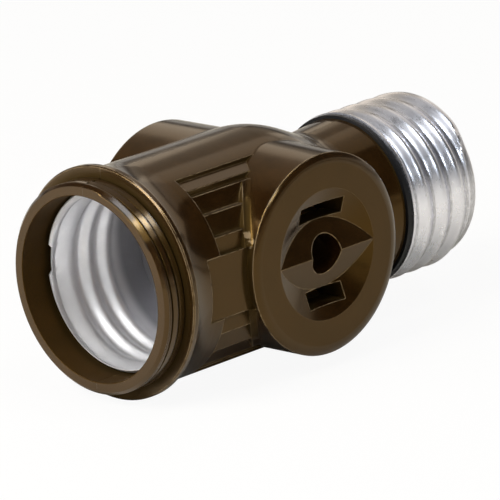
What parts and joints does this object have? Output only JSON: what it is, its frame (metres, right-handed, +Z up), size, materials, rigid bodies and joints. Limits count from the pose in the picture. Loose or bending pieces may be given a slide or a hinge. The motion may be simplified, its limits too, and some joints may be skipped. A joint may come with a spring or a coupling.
{
  "type": "lamp holder adapter",
  "caption": "Brown moulded screw-in lamp holder with a threaded metal lamp socket at one end, a metal screw base at the other and a slotted outlet on each flank.",
  "frame": {"origin": "centre of the mouth, in the plane of the collar's front rim", "axes": "+Y along the lamp axis from the mouth to the screw base, X through both outlets, +Z up with the lamp axis lying level"},
  "size_m": [0.0344, 0.0731, 0.0344],
  "materials": {
    "bakelite": "moulded, semi-gloss brown",
    "aluminium_shell": "bright rolled sheet",
    "brass": "stamped sheet",
    "rivet_steel": "dull plated",
    "black_fibre": "satin black",
    "red_fibre": "vulcanised fibre",
    "black_plug": "glossy black"
  },
  "bodies": {
    "root": {"base_center_contact": "brass", "base_end_insulator": "black_plug", "base_screw_shell": "aluminium_shell", "base_washer": "black_fibre", "body_half_left": "bakelite", "body_half_right": "bakelite", "center_contact_rivet": "brass", "clamping_rivet": "rivet_steel", "clip_left_hot": "brass", "clip_left_neutral": "brass", "clip_right_hot": "brass", "clip_right_neutral": "brass", "clip_rivets": "brass", "hot_bus": "brass", "neutral_bus": "brass", "socket_center_contact": "brass", "socket_fibre_disc": "red_fibre", "socket_screw_shell": "aluminium_shell", "socket_shell_rivet": "brass"}
  },
  "joints": []
}
